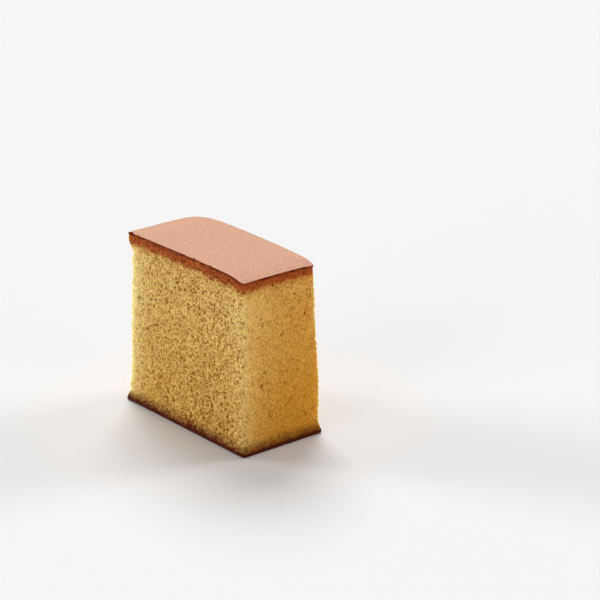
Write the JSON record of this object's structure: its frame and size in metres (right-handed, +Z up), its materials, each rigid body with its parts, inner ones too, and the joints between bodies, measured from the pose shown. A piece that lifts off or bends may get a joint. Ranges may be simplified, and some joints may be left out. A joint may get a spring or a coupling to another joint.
{
  "type": "castella sponge cake slice",
  "caption": "Slice of castella, a Japanese honey sponge cake, standing upright, with a domed brown top crust, fine golden crumb and a thin dark baked base.",
  "frame": {"origin": "middle of the flat baked base, on the surface that the slice stands on", "axes": "+Z up through the top crust; +X across the loaf, along the broad cut faces; +Y through the thickness of the slice"},
  "size_m": [0.0638, 0.0329, 0.06],
  "materials": {
    "golden_crumb": "matt open sponge crumb, pale gold, rough all over",
    "top_crust": "matt light brown baked skin with a fine grain and a faint sheen",
    "base_crust": "dark brown baked base, slightly sticky"
  },
  "bodies": {
    "root": {"castella_slice": "golden_crumb"}
  },
  "joints": []
}
